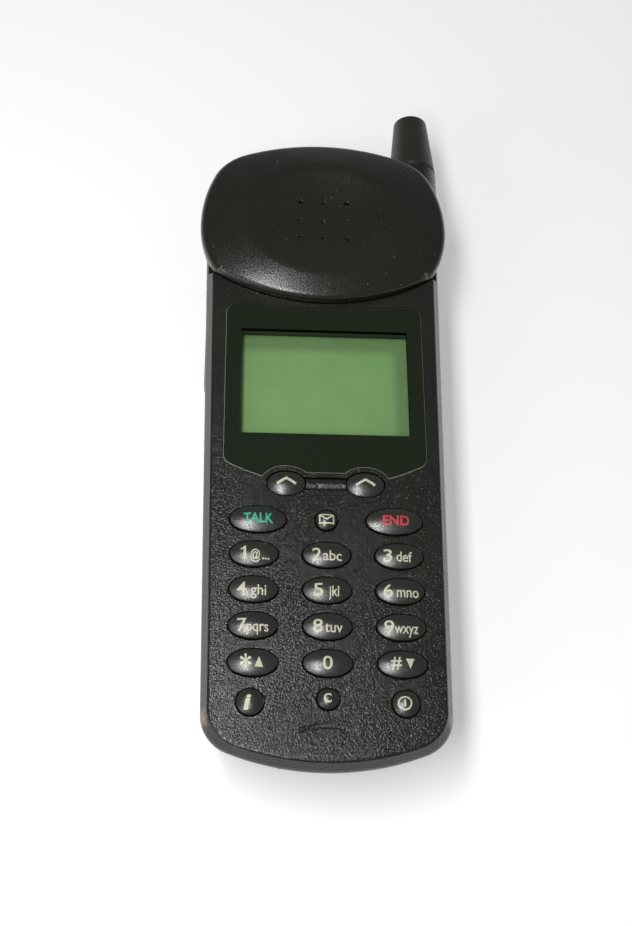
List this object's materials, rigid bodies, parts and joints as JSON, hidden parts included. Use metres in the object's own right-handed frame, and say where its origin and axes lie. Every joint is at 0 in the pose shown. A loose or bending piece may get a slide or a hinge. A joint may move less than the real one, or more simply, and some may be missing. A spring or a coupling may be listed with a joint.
{
  "type": "slider phone",
  "caption": "Mobile phone whose domed earpiece head slides up, with a keypad, a display, a pull-out whip antenna and a slide-off battery.",
  "frame": {"origin": "on the flat back of the battery, midway along the body and on its centre line", "axes": "+X to the right of the keypad, +Y along the phone towards the antenna, +Z out of the front face"},
  "size_m": [0.0584, 0.1712, 0.0295],
  "materials": {
    "housing": "fine spark texture",
    "head_shell": "fine satin",
    "battery_shell": "fine spark texture",
    "window": "gloss, printed black round the view",
    "display_glass": "green reflective",
    "inner_plastic": "plain moulded",
    "light_guide": "clear",
    "board": "solder resist",
    "sheet_metal": "bright",
    "polyester_film": "film",
    "rubber_part": "matt",
    "key_caps": "satin",
    "steel": "plain",
    "flex_film": "film",
    "antenna_shell": "satin",
    "whip_metal": "polished",
    "gold_contact": "plated",
    "cell_can": "drawn",
    "black_moulding": "plain moulded"
  },
  "bodies": {
    "handset": {"front_housing": "housing", "rear_housing": "housing", "display_window": "window", "lcd_frame": "inner_plastic", "lcd_module": "display_glass", "light_guide": "light_guide", "main_board": "board", "rf_shield": "sheet_metal", "logic_shield": "sheet_metal", "dome_sheet": "polyester_film", "keypad_mat": "rubber_part", "microphone": "sheet_metal", "mic_boot": "rubber_part", "system_connector": "black_moulding", "ringer": "black_moulding", "battery_contacts": "black_moulding", "volume_switch": "black_moulding", "body_flex": "flex_film", "housing_screws": "steel", "guide_rails": "steel", "detent_spring": "steel", "antenna_bushing": "gold_contact", "antenna_contact": "gold_contact", "catch_spring": "steel"},
    "head": {"head_cover": "head_shell", "head_tray": "head_shell", "receiver": "sheet_metal", "receiver_gasket": "rubber_part", "slide_shoe_left": "inner_plastic", "slide_shoe_right": "inner_plastic", "slide_screws": "steel", "head_flex": "flex_film"},
    "antenna": {"antenna_cap": "antenna_shell", "antenna_whip": "whip_metal"},
    "battery": {"battery_case": "battery_shell", "battery_lid": "battery_shell", "battery_terminals": "gold_contact", "battery_cells": "cell_can"},
    "volume_key": {"volume_rocker": "rubber_part"},
    "battery_release": {"release_button": "housing"},
    "key_star": {"key_star": "key_caps"},
    "key_0": {"key_0": "key_caps"},
    "key_hash": {"key_hash": "key_caps"},
    "key_7": {"key_7": "key_caps"},
    "key_8": {"key_8": "key_caps"},
    "key_9": {"key_9": "key_caps"},
    "key_4": {"key_4": "key_caps"},
    "key_5": {"key_5": "key_caps"},
    "key_6": {"key_6": "key_caps"},
    "key_1": {"key_1": "key_caps"},
    "key_2": {"key_2": "key_caps"},
    "key_3": {"key_3": "key_caps"},
    "key_talk": {"key_talk": "key_caps"},
    "key_end": {"key_end": "key_caps"},
    "key_message": {"key_message": "key_caps"},
    "key_info": {"key_info": "key_caps"},
    "key_power": {"key_power": "key_caps"},
    "key_clear": {"key_clear": "key_caps"},
    "softkey_left": {"softkey_left": "key_caps"},
    "softkey_right": {"softkey_right": "key_caps"}
  },
  "joints": [
    {"name": "head_slide", "type": "slide", "parent": "handset", "child": "head", "axis": [0, 1, 0], "range_m": [0, 0.02], "deforming": ["detent_spring"]},
    {"name": "antenna_slide", "type": "slide", "parent": "handset", "child": "antenna", "axis": [0, 1, 0], "range_m": [0, 0.07]},
    {"name": "battery_slide", "type": "slide", "parent": "handset", "child": "battery", "axis": [0, -1, 0], "range_m": [0, 0.012], "deforming": ["catch_spring"]},
    {"name": "release_slide", "type": "slide", "parent": "handset", "child": "battery_release", "axis": [0, 1, 0], "range_m": [0, 0.0015], "stiffness_N_per_m": 500, "deforming": ["catch_spring"]},
    {"name": "volume_rock", "type": "hinge", "parent": "handset", "child": "volume_key", "pos_m": [-0.02548, 0.024, 0.018], "axis": [0, 0, 1], "range_deg": [-3, 3], "stiffness_Nm_per_rad": 0.05},
    {"name": "key_star_press", "type": "slide", "parent": "handset", "child": "key_star", "axis": [0, 0, -1], "range_m": [0, 0.0005], "stiffness_N_per_m": 1000},
    {"name": "key_0_press", "type": "slide", "parent": "handset", "child": "key_0", "axis": [0, 0, -1], "range_m": [0, 0.0005], "stiffness_N_per_m": 1000},
    {"name": "key_hash_press", "type": "slide", "parent": "handset", "child": "key_hash", "axis": [0, 0, -1], "range_m": [0, 0.0005], "stiffness_N_per_m": 1000},
    {"name": "key_7_press", "type": "slide", "parent": "handset", "child": "key_7", "axis": [0, 0, -1], "range_m": [0, 0.0005], "stiffness_N_per_m": 1000},
    {"name": "key_8_press", "type": "slide", "parent": "handset", "child": "key_8", "axis": [0, 0, -1], "range_m": [0, 0.0005], "stiffness_N_per_m": 1000},
    {"name": "key_9_press", "type": "slide", "parent": "handset", "child": "key_9", "axis": [0, 0, -1], "range_m": [0, 0.0005], "stiffness_N_per_m": 1000},
    {"name": "key_4_press", "type": "slide", "parent": "handset", "child": "key_4", "axis": [0, 0, -1], "range_m": [0, 0.0005], "stiffness_N_per_m": 1000},
    {"name": "key_5_press", "type": "slide", "parent": "handset", "child": "key_5", "axis": [0, 0, -1], "range_m": [0, 0.0005], "stiffness_N_per_m": 1000},
    {"name": "key_6_press", "type": "slide", "parent": "handset", "child": "key_6", "axis": [0, 0, -1], "range_m": [0, 0.0005], "stiffness_N_per_m": 1000},
    {"name": "key_1_press", "type": "slide", "parent": "handset", "child": "key_1", "axis": [0, 0, -1], "range_m": [0, 0.0005], "stiffness_N_per_m": 1000},
    {"name": "key_2_press", "type": "slide", "parent": "handset", "child": "key_2", "axis": [0, 0, -1], "range_m": [0, 0.0005], "stiffness_N_per_m": 1000},
    {"name": "key_3_press", "type": "slide", "parent": "handset", "child": "key_3", "axis": [0, 0, -1], "range_m": [0, 0.0005], "stiffness_N_per_m": 1000},
    {"name": "key_talk_press", "type": "slide", "parent": "handset", "child": "key_talk", "axis": [0, 0, -1], "range_m": [0, 0.0005], "stiffness_N_per_m": 1000},
    {"name": "key_end_press", "type": "slide", "parent": "handset", "child": "key_end", "axis": [0, 0, -1], "range_m": [0, 0.0005], "stiffness_N_per_m": 1000},
    {"name": "key_message_press", "type": "slide", "parent": "handset", "child": "key_message", "axis": [0, 0, -1], "range_m": [0, 0.0005], "stiffness_N_per_m": 1000},
    {"name": "key_info_press", "type": "slide", "parent": "handset", "child": "key_info", "axis": [0, 0, -1], "range_m": [0, 0.0005], "stiffness_N_per_m": 1000},
    {"name": "key_power_press", "type": "slide", "parent": "handset", "child": "key_power", "axis": [0, 0, -1], "range_m": [0, 0.0005], "stiffness_N_per_m": 1000},
    {"name": "key_clear_press", "type": "slide", "parent": "handset", "child": "key_clear", "axis": [0, 0, -1], "range_m": [0, 0.0005], "stiffness_N_per_m": 1000},
    {"name": "softkey_left_press", "type": "slide", "parent": "handset", "child": "softkey_left", "axis": [0, 0, -1], "range_m": [0, 0.0005], "stiffness_N_per_m": 1000},
    {"name": "softkey_right_press", "type": "slide", "parent": "handset", "child": "softkey_right", "axis": [0, 0, -1], "range_m": [0, 0.0005], "stiffness_N_per_m": 1000}
  ]
}
